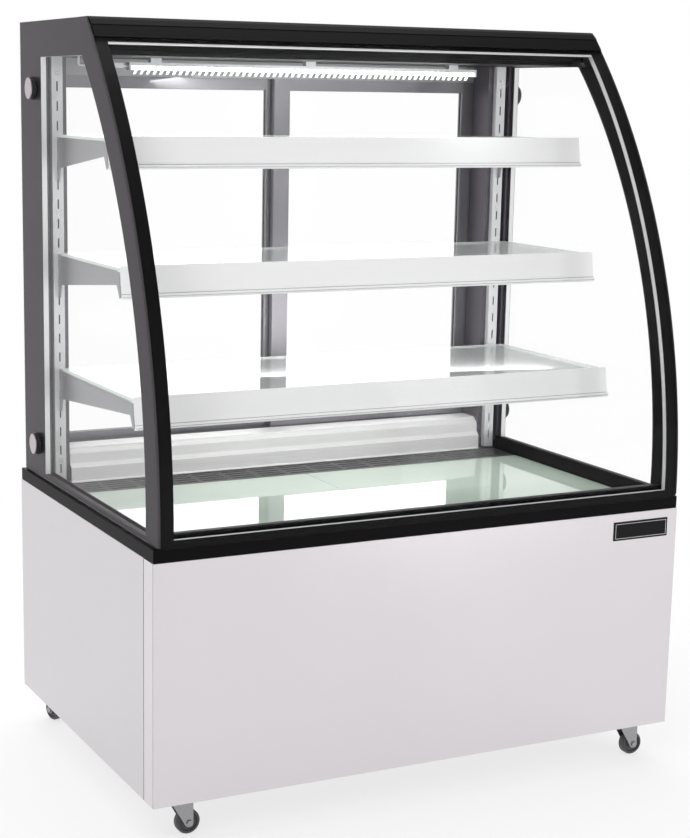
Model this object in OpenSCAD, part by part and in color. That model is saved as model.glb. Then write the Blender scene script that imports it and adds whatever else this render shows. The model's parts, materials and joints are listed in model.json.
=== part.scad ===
// Refrigerated glass display showcase on casters: stainless lower body, flat side
// glasses, one curved front glass, three glass shelves and two sliding rear doors.
// The origin is on the floor under the middle of the showcase, front towards -Y.

/* [Lower body] */
// Width of the stainless body
body_w = 1200; // [900:10:1500]
// Depth of the stainless body
body_d = 800; // [760:10:840]
// Height of the stainless body above its lower edge
body_h = 480; // [460:10:520]
// Clear height under the body
floor_gap = 86; // [86:1:100]
// Height of the black trim between body and glass
trim_h = 26; // [20:1:26]

/* [Glass] */
// Height of the glazed top above the trim
glass_h = 972; // [960:4:980]
// Radius of the curved front glass
glass_r = 1400; // [1380:10:1500]
// Distance that the front glass bulges past the body
bulge = 10; // [6:1:12]
// Thickness of one pane
pane_t = 5; // [4:0.5:6]
// Gap between the two panes of a double glass
pane_gap = 12; // [10:1:14]
// Distance from the body's side to the side glass
side_inset = 6; // [5:1:10]

/* [Shelves] */
// Height of the lowest shelf above the floor
shelf_z = 837; // [817:5:847]
// Distance from one shelf to the next
shelf_pitch = 247; // [240:1:250]
// Thickness of the shelf glass
shelf_t = 6; // [5:1:8]
// Height of the front rail of a shelf
rail_h = 64; // [50:1:66]

/* [Doors] */
// Width of a door's stiles
stile_w = 40; // [34:1:46]
// Thickness of a sliding door
door_t = 16; // [14:1:16]
// Overlap of the closed doors
door_overlap = 28; // [24:1:32]

/* [Casters] */
// Radius of a caster wheel
wheel_r = 25; // [22:0.5:26]
// Width of a caster wheel
wheel_w = 20; // [16:1:21]
// Trail of a wheel behind its kingpin
caster_trail = 24; // [20:1:28]

/* [Hidden] */
$fn = 48;
arc_fn = 360;
sheet = 2;
fit = 0.05;

front_y = bulge / 2 - body_d / 2;
rear_y = front_y + body_d;
side_x = body_w / 2;
base_z = floor_gap;
trim_z = base_z + body_h;
return_w = 48;
glass_z = trim_z + trim_h;
top_z = glass_z + glass_h;

// Front glass: one circular arc, vertical near its foot
arc_y = front_y - bulge + glass_r;
arc_z = glass_z + 12;
unit_t = 2 * pane_t + pane_gap;
lite_x = side_x - side_inset;
inner_x = lite_x - unit_t;
front_x = lite_x - pane_t - 2;
trim_w = side_inset + unit_t - 1;
corner_w = 60;
roof_front = 420;
cap_z = top_z - 40;

// Clear area of a side glass, inside its dark border
clear_rear_y = rear_y - 139;
clear_top_z = top_z - 75;
clear_low_z = glass_z + 11;
clear_arc_y = arc_y - 69;
clear_arc_z = arc_z + 29;
clear_arc_r = glass_r - 145;
border_w = 26;
spacer_w = 10;

// Rear frame
ceiling_z = top_z - 73;
post_x = inner_x - 48;
post_front_y = rear_y - 112;
lip_y = rear_y - 42;
jamb_x = post_x + 14;
door_y = [lip_y + 23, lip_y + 4];
track_gap = 0.5;
door_low_z = trim_z + 72;
door_top_z = ceiling_z - 27;
door_end_x = jamb_x - 3;
door_shift = 12;
door_w = [door_end_x + door_overlap / 2 + door_shift,
    door_end_x + door_overlap / 2 - door_shift];
door_rail_h = 36;
door_foot_h = 30;
sill_lip_z = door_low_z + 14;
header_lip_z = door_top_z - 10;

// Deck and tub
deck_t = 8;
deck_z = trim_z + deck_t;
deck_x = inner_x - 6.5;
deck_front_y = front_y + 47;
deck_rear_y = rear_y - 225;
duct_y = rear_y - 122;
tub_low_z = trim_z - 140;
tub_floor = 30;
tub_x = side_x - 60;
duct_x = inner_x - 48.5;

// Shelves
pilaster_w = 24.5;
pilaster_t = 14;
pilaster_y = post_front_y - pilaster_t;
pilaster_x = inner_x - 23;
pilaster_low_z = deck_z + 5;
slot_pitch = 41;
slot_h = 20;
slots = 21;
slot_top_z = ceiling_z - 61;
shelf_front_y = [-178, -107, -38];
shelf_rear_y = pilaster_y - 34;
shelf_end_x = pilaster_x + 6;
bracket_t = 2.5;

// Light
led_x = 422;
led_y = rear_y - 209;
led_z = ceiling_z - 17;

// Machine bay
bay_z = base_z + 6;
fan_x = 260;
fan_z = bay_z + 150;
fan_y = rear_y - 150;
fan_r = 110;
shaft_r = 3;
condenser_y = rear_y - 80;
evap_fan_y = rear_y - 320;
evap_fan_z = trim_z - 52;
evap_fan_r = 40;
comp_x = -250;
comp_y = 60;
comp_r = 78;
panel_y = rear_y - 6;

// Controls on the rear panel
control_x = -330;
control_z = tub_low_z - 36;
button_x = control_x + 22;
button_step = 9;
button_r = 3.5;
switch_x = control_x + 90;
rocker_tilt = 8;
rocker_y = panel_y + 1;
pin_r = 1.5;
louvre_w = 150;
louvre_x = [100, 270, 440];
louvre_rows = 14;
louvre_step = 18;
louvre_z = base_z + 60;
gland_x = 545;
gland_z = base_z + 70;

// Casters
caster_x = side_x - 70;
caster_y = [front_y + 60, rear_y - 49];
caster_turn = [0, 0, 105, 20];
axle_r = 4;
kingpin_r = 5;
race_z = base_z - 6;
fork_gap = wheel_w / 2 + 2;
fork_t = 2.5;

// Round standoffs of the side glasses
knob_r = 24;
knob_out = 12.5;
knob_y = rear_y - 106;
knob_z = [trim_z + 100, ceiling_z - 66];

// ---- helpers -------------------------------------------------------------

// A box from its lowest to its highest corner
module box(lo, hi) {
    translate(lo) cube(hi - lo);
}

// Extrudes a drawing in the YZ plane along X, from x0 to x1
module along_x(x0, x1) {
    translate([x0, 0, 0]) rotate([90, 0, 90]) linear_extrude(x1 - x0) children();
}

// Extrudes a drawing in the XZ plane along Y, from y0 to y1
module along_y(y0, y1) {
    translate([0, y1, 0]) rotate([90, 0, 0]) linear_extrude(y1 - y0) children();
}

module both_sides() {
    children();
    mirror([1, 0, 0]) children();
}

// A rectangle in a drawing from corner to corner
module rect(lo, hi) {
    translate(lo) square(hi - lo);
}

module disc_of_glass(r) {
    translate([arc_y, arc_z]) circle(r, $fn = arc_fn);
}

// The part of the glass arc band between radii r0 and r1 and heights z0 and z1
module arc_band(r0, r1, z0, z1) {
    intersection() {
        difference() {
            disc_of_glass(r1);
            disc_of_glass(r0);
        }
        rect([front_y - bulge - 20, z0], [arc_y - glass_r / 2, z1]);
    }
}

// ---- lower body ----------------------------------------------------------

// Folded bottom pan that carries the machine and the casters
module base_pan() {
    lo = [-side_x + 4, front_y + 4, base_z + 3];
    hi = [side_x - 4, rear_y - 9, base_z + 33];
    color("silver") difference() {
        box(lo, hi);
        box(lo + [sheet, sheet, sheet + 1], hi + [-sheet, -sheet, 1]);
    }
}

// Front sheet with its returns round both front corners, a line down each, and a hem
module front_panel() {
    lo = [-side_x, front_y, base_z];
    hi = [side_x, front_y + return_w, trim_z];
    hem = [20, 20, 0];
    color("gainsboro") difference() {
        box(lo, hi);
        box(lo + [sheet, sheet, sheet], hi + [-sheet, 1, 1]);
        box(lo + hem - [0, 0, 1], [hi[0] - hem[0], hi[1] + 1, base_z + sheet + 1]);
        both_sides() box([side_x - 0.8, front_y + 1.4, base_z - 1],
            [side_x + 1, front_y + 2.6, trim_z + 1]);
    }
}

module side_panel() {
    lo = [-side_x, front_y + return_w + 2.4, base_z];
    hi = [-side_x + 20, rear_y, trim_z];
    color("gainsboro") difference() {
        box(lo, hi);
        box(lo + [sheet, -1, sheet], hi + [1, -sheet, 1]);
    }
}

module side_panel_left() {
    side_panel();
}

module side_panel_right() {
    mirror([1, 0, 0]) side_panel();
}

// One pressed louvre: a slot with a hood over it
module louvre_hood() {
    translate([-louvre_w / 2, 0, 0]) rotate([90, 0, 90]) linear_extrude(louvre_w)
        polygon([[-1, 8], [0, 8], [4, 0], [2.8, 0], [-1, 7]]);
}

// Rear cover with louvres and the cut-outs for the controls
module rear_panel() {
    lo = [-side_x + 22, panel_y, base_z + 6];
    hi = [side_x - 22, panel_y + sheet, trim_z - 1];
    color("gainsboro") {
        difference() {
            box(lo, hi);
            for (x = louvre_x, i = [0 : louvre_rows - 1])
                box([x - louvre_w / 2 + 2, panel_y - 1, louvre_z + i * louvre_step],
                    [x + louvre_w / 2 - 2, panel_y + 3, louvre_z + i * louvre_step + 6]);
            box([control_x - 36, panel_y - 1, control_z - 15],
                [control_x + 36, panel_y + 3, control_z + 15]);
            box([switch_x - 11, panel_y - 1, control_z - 15],
                [switch_x + 11, panel_y + 3, control_z + 15]);
            translate([gland_x, panel_y + 3, gland_z]) rotate([90, 0, 0]) cylinder(r = 8.2, h = 6);
        }
        for (x = louvre_x, i = [0 : louvre_rows - 1])
            translate([x, panel_y + sheet, louvre_z + i * louvre_step]) louvre_hood();
    }
}

// Mitred black trim round the front and both sides, under the glass
module trim_frame() {
    a = side_x - 1;
    f = front_y + 1;
    w = trim_w;
    gap = 0.2;
    color("#2a2a2c") translate([0, 0, trim_z]) linear_extrude(trim_h) {
        polygon([[-a + gap, f], [a - gap, f], [a - w - gap, f + w], [-a + w + gap, f + w]]);
        both_sides() polygon([[a, f + gap], [a, rear_y - 1], [a - w, rear_y - 1],
            [a - w, f + w + gap]]);
    }
}

module nameplate() {
    color("#101010") box([side_x - 163, front_y - 1.5, trim_z - 58],
        [side_x - 25, front_y, trim_z - 18]);
}

// ---- tub and cold air path -----------------------------------------------

// Foam-filled tub under the deck, open at the top
module insulated_tub() {
    color("lightgray") difference() {
        box([-side_x + 6, front_y + 6, tub_low_z], [side_x - 6, rear_y - 12, trim_z]);
        box([-tub_x, front_y + 70, tub_low_z + tub_floor], [tub_x, lip_y - 6, trim_z + 1]);
    }
}

// A pack of fins with tubes through it, along X
module fin_pack(lo, hi, fins, rows) {
    step = (hi[0] - lo[0] - 1) / (fins - 1);
    for (i = [0 : fins - 1])
        box([lo[0] + i * step, lo[1], lo[2]], [lo[0] + i * step + 1, hi[1], hi[2]]);
    for (j = [0 : rows - 1])
        translate([lo[0] - 8, (lo[1] + hi[1]) / 2, lo[2] + (j + 0.5) * (hi[2] - lo[2]) / rows])
            rotate([0, 90, 0]) cylinder(r = 4.8, h = hi[0] - lo[0] + 16);
}

// Motor with its shaft, three spokes and the plate with the fan's round opening.
// The fan turns on the shaft in front of the motor, in the opening.
module fan_mount(x, y, z, r, plate) {
    translate([x, y, z]) rotate([90, 0, 0]) {
        difference() {
            translate([-plate[0] / 2, -plate[1] / 2, -1.5])
                cube([plate[0], plate[1], 3]);
            translate([0, 0, -2]) cylinder(r = r + 5, h = 4);
        }
        translate([0, 0, -r * 0.4 - 12]) cylinder(r = r * 0.3, h = r * 0.4);
        translate([0, 0, -13]) cylinder(r = shaft_r, h = 20);
        for (a = [90, 210, 330])
            rotate([0, 0, a]) translate([r * 0.25, -3, -20]) cube([r * 0.75 + 7, 6, 3]);
        for (a = [90, 210, 330])
            rotate([0, 0, a]) translate([r + 6, -3, -20]) cube([5, 6, 19]);
    }
}

// Axial fan: bored hub and pitched blades, turning about Y
module fan_blades(x, y, z, r, blades) {
    hub = r * 0.28;
    deep = r * 0.3;
    translate([x, y, z]) rotate([90, 0, 0]) difference() {
        union() {
            translate([0, 0, -8]) cylinder(r = hub, h = 16);
            intersection() {
                translate([0, 0, -10]) cylinder(r = r, h = 20);
                for (i = [0 : blades - 1])
                    rotate([0, 0, i * 360 / blades]) translate([hub * 0.8, 0, 0])
                        rotate([28, 0, 0]) translate([0, -r * 0.24, -1])
                            cube([r, r * 0.48, 2]);
            }
        }
        translate([0, 0, -20]) cylinder(r = shaft_r + fit, h = 40);
    }
}

module evaporator() {
    color("silver") {
        fin_pack([-380, front_y + 590, tub_low_z + tub_floor + 4],
            [380, front_y + 655, trim_z - 8], 26, 3);
        fan_mount(0, evap_fan_y, evap_fan_z, evap_fan_r, [240, 100]);
    }
}

module evaporator_fan() {
    color("#303030") fan_blades(0, evap_fan_y, evap_fan_z, evap_fan_r, 5);
}

// Slotted black grille behind the deck, where the air goes down to the coil
module return_grille() {
    color("#39393c") difference() {
        box([-deck_x, deck_rear_y + 1.5, trim_z], [deck_x, duct_y - 1, deck_z]);
        for (i = [-7 : 7], y = [deck_rear_y + 20 : 20 : duct_y - 20])
            box([i * 72 - 30, y - 2.5, trim_z - 1], [i * 72 + 30, y + 2.5, deck_z + 1]);
    }
}

// Stepped stainless sheet that leads the cold air up in front of the doors
module duct_panel() {
    y = duct_y;
    color("silver") along_x(-duct_x, duct_x) polygon([
        [y - 4, deck_z + 0.5], [y - 4, deck_z + 3], [y, deck_z + 4], [y, deck_z + 34],
        [y + 10, deck_z + 42], [y + 10, deck_z + 64],
        [y + 22, deck_z + 72], [y + 22, sill_lip_z - 2], [lip_y - 0.5, sill_lip_z - 2],
        [lip_y - 0.5, sill_lip_z - 4], [y + 24, sill_lip_z - 4], [y + 24, deck_z + 71],
        [y + 12, deck_z + 63], [y + 12, deck_z + 41], [y + 2, deck_z + 33],
        [y + 2, deck_z + 0.5]]);
}

// Two plates of mirror-like glass that make the display deck
module deck_glass() {
    color("#cfe0d6") both_sides()
        box([0.75, deck_front_y, trim_z], [deck_x, deck_rear_y, deck_z]);
}

// ---- glass ---------------------------------------------------------------

// Curved double glass of the front: an outer and an inner pane
module front_glass() {
    color("#d8eef0", 0.3) {
        along_x(-front_x, front_x)
            arc_band(glass_r - pane_t, glass_r, glass_z + 0.5, cap_z);
        along_x(-front_x + 12, front_x - 12)
            arc_band(glass_r - unit_t, glass_r - unit_t + pane_t, glass_z + 0.5, cap_z - 6);
    }
}

// Aluminium spacer frame between the two panes of the front glass
module front_spacer() {
    r0 = glass_r - pane_t - pane_gap + 0.2;
    r1 = glass_r - pane_t - 0.6;
    low = glass_z + 16;
    high = cap_z - 14;
    edge = front_x - border_w;
    color("silver") difference() {
        along_x(-edge - spacer_w, edge + spacer_w)
            arc_band(r0, r1, low - spacer_w, high + spacer_w);
        along_x(-edge, edge) arc_band(r0 - 1, r1 + 1, low, high);
    }
}

// Outline of a side glass: straight rear and top, curved front, round lower corner
module side_outline() {
    corner = 8;
    corner_y = arc_y - glass_r + 0.2;
    intersection() {
        difference() {
            rect([front_y - bulge - 1, glass_z + 0.5], [rear_y, top_z]);
            rect([front_y - bulge - 2, glass_z], [corner_y + corner, glass_z + corner]);
        }
        disc_of_glass(glass_r);
    }
    translate([corner_y + corner, glass_z + 0.5 + corner]) circle(corner);
}

// Outline of the clear area of a side glass, grown by some millimetres
module clear_outline(grow) {
    intersection() {
        rect([front_y, clear_low_z - grow], [clear_rear_y + grow, clear_top_z + grow]);
        translate([clear_arc_y, clear_arc_z]) circle(clear_arc_r + grow, $fn = arc_fn);
    }
}

// Stepped double glass of a side: full outer pane, smaller inner pane
module side_glass() {
    color("#d8eef0", 0.3) {
        along_x(lite_x - pane_t, lite_x) side_outline();
        along_x(inner_x, inner_x + pane_t) clear_outline(spacer_w);
    }
}

module side_glass_left() {
    mirror([1, 0, 0]) side_glass();
}

module side_glass_right() {
    side_glass();
}

module side_spacers() {
    color("silver") both_sides()
        along_x(inner_x + pane_t + 0.1, lite_x - pane_t - 0.6) difference() {
            clear_outline(spacer_w);
            clear_outline(0);
        }
}

// Curved profiles that join the front glass to the side glasses
module corner_profiles() {
    color("#3a3a3e") both_sides() along_x(inner_x, lite_x - pane_t - 0.6) difference() {
        arc_band(glass_r - unit_t - corner_w, glass_r - unit_t - 0.6, glass_z, clear_top_z);
        clear_outline(spacer_w + 0.3);
    }
}

// Inner sills behind the foot of the front glass and along both side glasses
module inner_sills() {
    y = front_y + 14;
    color("#47474a") {
        along_x(2 - inner_x, inner_x - 2) polygon([[y, glass_z + 0.2], [y, glass_z + 22],
            [y + 4, glass_z + 24], [y + 32, glass_z + 20], [y + 32, trim_z + 0.2],
            [y + 15, trim_z + 0.2], [y + 15, glass_z + 0.2]]);
        both_sides() along_y(y + 32.3, clear_rear_y + spacer_w + 0.2) polygon([
            [inner_x - 0.5, deck_z + 0.2], [inner_x - 6, deck_z + 0.2],
            [inner_x - 6, glass_z + 10], [inner_x - 4, glass_z + 14],
            [inner_x - 0.5, glass_z + 14]]);
    }
}

// Round standoffs that clamp the side glasses to the rear posts
module standoff() {
    along = knob_out - 3;
    rotate([0, 90, 0]) {
        difference() {
            cylinder(r = knob_r, h = along);
            translate([0, 0, along - 3]) difference() {
                cylinder(r = knob_r + 1, h = 1.5);
                cylinder(r = knob_r - 2, h = 1.5);
            }
        }
        translate([0, 0, along + 0.2]) cylinder(r = knob_r - 2, h = knob_out - along - 0.2);
    }
}

module standoffs() {
    color("#1c1c1e") both_sides() for (z = knob_z)
        translate([lite_x + 0.1, knob_y, z]) standoff();
}

// ---- top and rear frame --------------------------------------------------

// Foam-filled roof panel
module roof_panel() {
    front = front_y + roof_front;
    color("#202022") {
        box([-inner_x + 0.5, front, ceiling_z], [inner_x - 0.5, rear_y - 0.5, top_z - 2]);
        box([-front_x - 1.5, front, clear_top_z + spacer_w + 0.5],
            [front_x + 1.5, rear_y - 0.5, top_z - 2]);
    }
}

// Black profile over the top edge of the front glass
module top_profile() {
    low = clear_top_z + spacer_w + 1;
    color("#26262a") along_x(-front_x, front_x) {
        arc_band(glass_r - unit_t, glass_r + 2, cap_z + 0.5, top_z - 12);
        polygon([[front_y + 352, top_z - 16], [front_y + 364, top_z - 6],
            [front_y + 374, top_z - 1], [front_y + roof_front - 0.5, top_z - 1],
            [front_y + roof_front - 0.5, low], [front_y + roof_front - 16, low],
            [front_y + 372, top_z - 24]]);
    }
}

// Track channel over or under the doors, drawn for the top: a block with three ribs
module track(block_z, rib_z, top) {
    y0 = lip_y;
    polygon([[y0, rib_z], [y0 + 3.4, rib_z], [y0 + 3.4, block_z], [y0 + 20.6, block_z],
        [y0 + 20.6, (rib_z + block_z) / 2], [y0 + 22.4, (rib_z + block_z) / 2],
        [y0 + 22.4, block_z], [y0 + 39.6, block_z], [y0 + 39.6, rib_z], [rear_y - 0.2, rib_z],
        [rear_y - 0.2, top], [y0, top]]);
}

module rear_header() {
    color("darkgray") along_x(-jamb_x + 0.5, jamb_x - 0.5)
        track(door_top_z + 4, header_lip_z, ceiling_z - 0.2);
}

module rear_sill() {
    color("darkgray") along_x(-jamb_x + 0.5, jamb_x - 0.5)
        track(door_low_z - track_gap, sill_lip_z, trim_z + 0.2);
}

// Rear corner posts: a box in front and a narrower jamb beside the doors
module rear_posts() {
    color("dimgray") both_sides() {
        translate([0, 0, trim_z + 0.2]) linear_extrude(ceiling_z - trim_z - 0.4)
            polygon([[post_x, post_front_y], [inner_x - 0.5, post_front_y],
                [inner_x - 0.5, rear_y - 0.2], [jamb_x, rear_y - 0.2], [jamb_x, lip_y],
                [post_x, lip_y]]);
        box([inner_x - 2, clear_rear_y + spacer_w + 0.5, glass_z + 0.2],
            [front_x + 1.5, rear_y - 0.2, ceiling_z - 0.2]);
    }
}

// Slotted uprights that the shelf brackets hook into
module pilasters() {
    x = pilaster_x;
    color("gainsboro") both_sides() difference() {
        box([x - pilaster_w / 2, pilaster_y, pilaster_low_z],
            [x + pilaster_w / 2, post_front_y - 0.2, ceiling_z - 0.2]);
        box([x - pilaster_w / 2 + 1.5, pilaster_y + 1.5, pilaster_low_z - 1],
            [x + pilaster_w / 2 - 1.5, post_front_y + 1, ceiling_z]);
        for (i = [0 : slots - 1])
            box([x - 1.6, pilaster_y - 1, slot_top_z - i * slot_pitch - slot_h / 2],
                [x + 1.6, pilaster_y + 2, slot_top_z - i * slot_pitch + slot_h / 2]);
    }
}

module pilaster_screws() {
    z = [slot_top_z + 26, slot_top_z - 6.5 * slot_pitch, slot_top_z - 19.5 * slot_pitch];
    color("silver") both_sides() for (h = z)
        translate([pilaster_x, pilaster_y - 0.05, h]) rotate([90, 0, 0]) difference() {
            cylinder(r = 4, h = 2);
            translate([-0.6, -3, 1.2]) cube([1.2, 6, 1]);
            translate([-3, -0.6, 1.2]) cube([6, 1.2, 1]);
        }
}

// ---- shelves -------------------------------------------------------------

// Height of the top of shelf i, counted from below
function shelf_top(i) = shelf_z + i * shelf_pitch;

// Middle height of the slot nearest to height z
function nearest_slot(z) = slot_top_z - slot_pitch * round((slot_top_z - z) / slot_pitch);

// Tapered bracket with two tabs in the upright's slots and a hook in front
module bracket(i) {
    z = shelf_top(i) - shelf_t - 0.1;
    tip = shelf_front_y[i] + 17;
    back = pilaster_y - 0.2;
    x = pilaster_x;
    along_x(x - bracket_t / 2, x + bracket_t / 2) difference() {
        union() {
            polygon([[back, z], [tip, z], [tip - 1, z - 26], [tip - 9, z - 52], [tip, z - 55],
                [tip + 14, z - 30], [back - 16, z - 64], [back - 8, z - 92], [back, z - 94]]);
            for (tab = [nearest_slot(z - 28), nearest_slot(z - 28) - slot_pitch])
                rect([back - 1, tab - 6], [back + 8, tab + 6]);
        }
        for (d = [12, 32])
            translate([back - d, z - 11]) circle(2.4);
    }
    box([x - 14, tip + 2, z - 1.5], [x - bracket_t / 2 + 0.1, back - 30, z]);
}

module shelf_brackets() {
    color("silver") both_sides() for (i = [0 : 2]) bracket(i);
}

module shelf_glass(i) {
    color("#e4efec", 0.5) both_sides()
        box([0.75, shelf_front_y[i] + 2.4, shelf_top(i) - shelf_t],
            [shelf_end_x, shelf_rear_y, shelf_top(i)]);
}

module shelf_glass_lower() {
    shelf_glass(0);
}

module shelf_glass_middle() {
    shelf_glass(1);
}

module shelf_glass_upper() {
    shelf_glass(2);
}

// Leaning front rail with a ledge under the glass and a lip along its foot
module shelf_rail(i) {
    y = shelf_front_y[i];
    z = shelf_top(i) + 4;
    under = shelf_top(i) - shelf_t;
    lean = rail_h / 6;
    color("whitesmoke") along_x(-shelf_end_x, shelf_end_x) polygon([[y, z], [y + 2, z],
        [y + 2, under - 0.1], [y + 15, under - 0.1], [y + 15, under - 1.6],
        [y + 2 - lean / 6, under - 1.6], [y + 2 - lean, z - rail_h + 4],
        [y + 8 - lean, z - rail_h + 1.5], [y + 8 - lean, z - rail_h], [y - lean - 1, z - rail_h],
        [y - lean - 4, z - rail_h + 5], [y - lean - 3, z - rail_h + 9],
        [y - lean + 1.5, z - rail_h + 9]]);
}

module shelf_rail_lower() {
    shelf_rail(0);
}

module shelf_rail_middle() {
    shelf_rail(1);
}

module shelf_rail_upper() {
    shelf_rail(2);
}

// ---- doors ---------------------------------------------------------------

// Frame of the left door. Its free stile overlaps the other door at the middle.
module door_frame(y, w) {
    x0 = -door_end_x;
    x1 = x0 + w;
    pull_x = x0 + stile_w / 2 + 2;
    pull_z = (door_low_z + door_top_z) / 2;
    color("darkgray") difference() {
        box([x0, y, door_low_z], [x1, y + door_t, door_top_z]);
        box([x0 + stile_w, y - 1, door_low_z + door_foot_h],
            [x1 - stile_w, y + door_t + 1, door_top_z - door_rail_h]);
        box([x0 + stile_w - 9, y + door_t / 2 - 3.1, door_low_z + door_foot_h - 9],
            [x1 - stile_w + 9, y + door_t / 2 + 3.1, door_top_z - door_rail_h + 9]);
        box([pull_x - 9, y + door_t - 8, pull_z - 90], [pull_x + 9, y + door_t + 1, pull_z + 90]);
    }
}

module door_glass(y, w) {
    x0 = -door_end_x + stile_w - 8;
    x1 = -door_end_x + w - stile_w + 8;
    color("#d8eef0", 0.3) box([x0, y + door_t / 2 - 3, door_low_z + door_foot_h - 8],
        [x1, y + door_t / 2 + 3, door_top_z - door_rail_h + 8]);
}

module door_frame_left() {
    door_frame(door_y[0], door_w[0]);
}

module door_glass_left() {
    door_glass(door_y[0], door_w[0]);
}

module door_frame_right() {
    mirror([1, 0, 0]) door_frame(door_y[1], door_w[1]);
}

module door_glass_right() {
    mirror([1, 0, 0]) door_glass(door_y[1], door_w[1]);
}

// ---- light ---------------------------------------------------------------

// Lamp bar on clips under the ceiling, with end caps, its lead and two connectors
module led_bar() {
    z = led_z + 0.1;
    lead_x = post_x + 6;
    color("silver") {
        box([-led_x, led_y - 10, z], [led_x, led_y + 10, z + 7]);
        both_sides() box([led_x - 4, led_y - 10, z - 9], [led_x, led_y + 10, z + 1]);
        for (x = [-led_x + 60, 0, led_x - 60])
            box([x - 12, led_y - 8, z + 6.9], [x + 12, led_y + 8, ceiling_z - 0.2]);
        translate([-lead_x, led_y, z]) rotate([0, 90, 0]) cylinder(r = 2.5, h = lead_x - led_x + 1);
        translate([-lead_x, led_y, z]) cylinder(r = 2.5, h = ceiling_z - 0.2 - z);
        for (x = [-led_x - 40, -lead_x + 14])
            box([x, led_y - 6, z - 5], [x + 28, led_y + 6, z + 5]);
    }
}

// Half-round milky diffuser below the lamp bar
module led_strip() {
    color("#f4fff8") along_x(-led_x + 4.2, led_x - 4.2) translate([led_y, led_z]) intersection() {
        circle(8);
        rect([-9, -9], [9, 0]);
    }
}

// ---- machine -------------------------------------------------------------

// Hermetic compressor on its foot plate, with four rubber feet and a terminal box
module compressor() {
    r = comp_r;
    color("#222224") translate([comp_x, comp_y, bay_z]) {
        translate([0, 0, 22]) intersection() {
            cylinder(r = r, h = 172);
            translate([0, 0, 86]) sphere(r = 112, $fn = 96);
        }
        translate([-95, -70, 14]) cube([190, 140, 9]);
        for (x = [-80, 80], y = [-56, 56])
            translate([x, y, 0.2]) cylinder(r = 11, h = 14);
        translate([r - 12, -26, 70]) cube([34, 52, 66]);
    }
}

// Copper lines from the compressor to the condenser
module copper_lines() {
    r = 4.8;
    y0 = comp_y + comp_r + 0.2;
    bend = 40;
    y1 = condenser_y + 30;
    x1 = fan_x - 158.2;
    color("#b87333") for (row = [2, 3]) {
        z = bay_z + 20 + (row + 0.5) * 260 / 6;
        translate([comp_x, y0, z]) rotate([-90, 0, 0]) cylinder(r = r, h = y1 - bend - y0);
        translate([comp_x + bend, y1 - bend, z])
            rotate([0, 0, 90]) rotate_extrude(angle = 90) translate([bend, 0]) circle(r);
        translate([comp_x + bend, y1, z]) rotate([0, 90, 0])
            cylinder(r = r, h = x1 - comp_x - bend);
    }
}

// Finned condenser with its fan motor on a plate
module condenser() {
    color("#4a4d50") {
        fin_pack([fan_x - 150, condenser_y, bay_z + 20], [fan_x + 150, condenser_y + 60,
            bay_z + 280], 24, 6);
        fan_mount(fan_x, fan_y, fan_z, fan_r, [300, 260]);
        for (x = [-150, 147])
            box([fan_x + x, fan_y + 1, bay_z + 21], [fan_x + x + 3, condenser_y + 1, bay_z + 279]);
        for (x = [-120, 100])
            box([fan_x + x, condenser_y + 10, bay_z + 0.2],
                [fan_x + x + 20, condenser_y + 50, bay_z + 20.5]);
    }
}

module condenser_fan() {
    color("#202020") fan_blades(fan_x, fan_y, fan_z, fan_r, 5);
}

// ---- controls ------------------------------------------------------------

// Thermostat and switch housings in the rear panel
module control_box() {
    face_y = panel_y + sheet + 0.1;
    color("#1d1d20") {
        difference() {
            union() {
                box([control_x - 35.5, panel_y - 40, control_z - 14.5],
                    [control_x + 35.5, face_y, control_z + 14.5]);
                box([control_x - 39, face_y - 0.01, control_z - 18],
                    [control_x + 39, face_y + 2, control_z + 18]);
            }
            box([control_x - 32, face_y + 1, control_z - 11],
                [control_x + 4, face_y + 3, control_z + 11]);
            for (i = [-1 : 1])
                translate([button_x, face_y + 3, control_z + i * button_step])
                    rotate([90, 0, 0]) cylinder(r = button_r + 0.3, h = 10);
        }
        difference() {
            union() {
                box([switch_x - 10.5, panel_y - 26, control_z - 14.5],
                    [switch_x + 10.5, face_y, control_z + 14.5]);
                box([switch_x - 13, face_y - 0.01, control_z - 18],
                    [switch_x + 13, face_y + 2, control_z + 18]);
            }
            box([switch_x - 8, panel_y - 16, control_z - 12.5],
                [switch_x + 8, face_y + 3, control_z + 12.5]);
            translate([switch_x - 9.6, rocker_y, control_z]) rotate([0, 90, 0])
                cylinder(r = pin_r + fit, h = 19.2);
        }
    }
}

// One round push button of the thermostat, in place i from the middle
module push_button(i) {
    face_y = panel_y + sheet + 0.1;
    translate([button_x, face_y + 3, control_z + i * button_step]) rotate([90, 0, 0])
        cylinder(r = button_r, h = 6);
}

module button_up() {
    color("#d8d8d8") push_button(1);
}

module button_set() {
    color("#d8d8d8") push_button(0);
}

module button_down() {
    color("#d8d8d8") push_button(-1);
}

// Rocker of the light switch, resting tilted about its pivot
module light_switch() {
    color("#c8f0c8") translate([switch_x, rocker_y, control_z]) {
        rotate([rocker_tilt, 0, 0]) along_x(-7.5, 7.5)
            polygon([[-6, -7], [-6, 7], [3.2, 11], [2.4, 0], [3.2, -11]]);
        translate([-9.4, 0, 0]) rotate([0, 90, 0]) cylinder(r = pin_r, h = 18.8);
    }
}

module cable_gland() {
    color("#1d1d20") translate([gland_x, panel_y + 4.5, gland_z]) rotate([90, 0, 0])
        difference() {
            union() {
                translate([0, 0, -1]) cylinder(r = 12, h = 3.4);
                cylinder(r = 8, h = 24);
                translate([0, 0, 4.6]) cylinder(r = 11.5, h = 6, $fn = 6);
            }
            translate([0, 0, -2]) cylinder(r = 4.5, h = 30);
        }
}

// ---- casters -------------------------------------------------------------

// Moves its children to caster i: front left, front right, rear left, rear right
module at_caster(i) {
    translate([(i % 2 == 0 ? -1 : 1) * caster_x, caster_y[i < 2 ? 0 : 1], 0]) children();
}

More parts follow.
